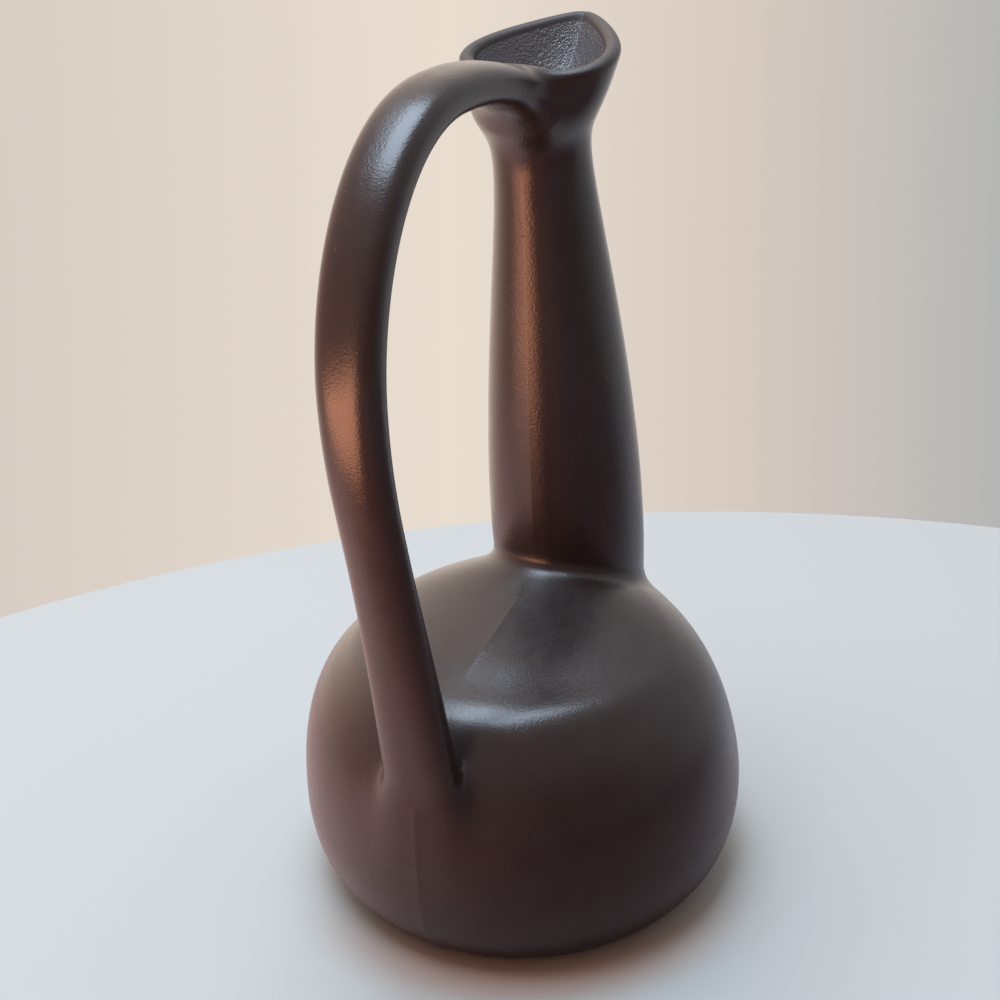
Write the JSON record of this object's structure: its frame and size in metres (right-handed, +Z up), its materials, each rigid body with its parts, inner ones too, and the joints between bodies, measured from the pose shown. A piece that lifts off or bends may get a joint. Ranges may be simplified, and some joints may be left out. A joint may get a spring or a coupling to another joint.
{
  "type": "ceramic vase",
  "caption": "Ewer-shaped ceramic vase with a squat round belly, a tall off-centre neck, a beaked pouring lip and a looped strap handle.",
  "frame": {"origin": "middle of the flat underside of the belly, on the surface that the vase stands on", "axes": "+Z up, +X towards the pouring beak, -X towards the handle, mirror plane XZ"},
  "size_m": [0.1461, 0.1276, 0.2405],
  "materials": {
    "burnished_clay": "burnished, satin, dark brown",
    "joint_clay": "smoothed by hand, satin, dark brown"
  },
  "bodies": {
    "root": {"belly": "burnished_clay", "neck": "burnished_clay", "handle": "burnished_clay", "neck_joint_coil": "joint_clay", "handle_foot_coil": "joint_clay", "handle_top_coil": "joint_clay"}
  },
  "joints": []
}
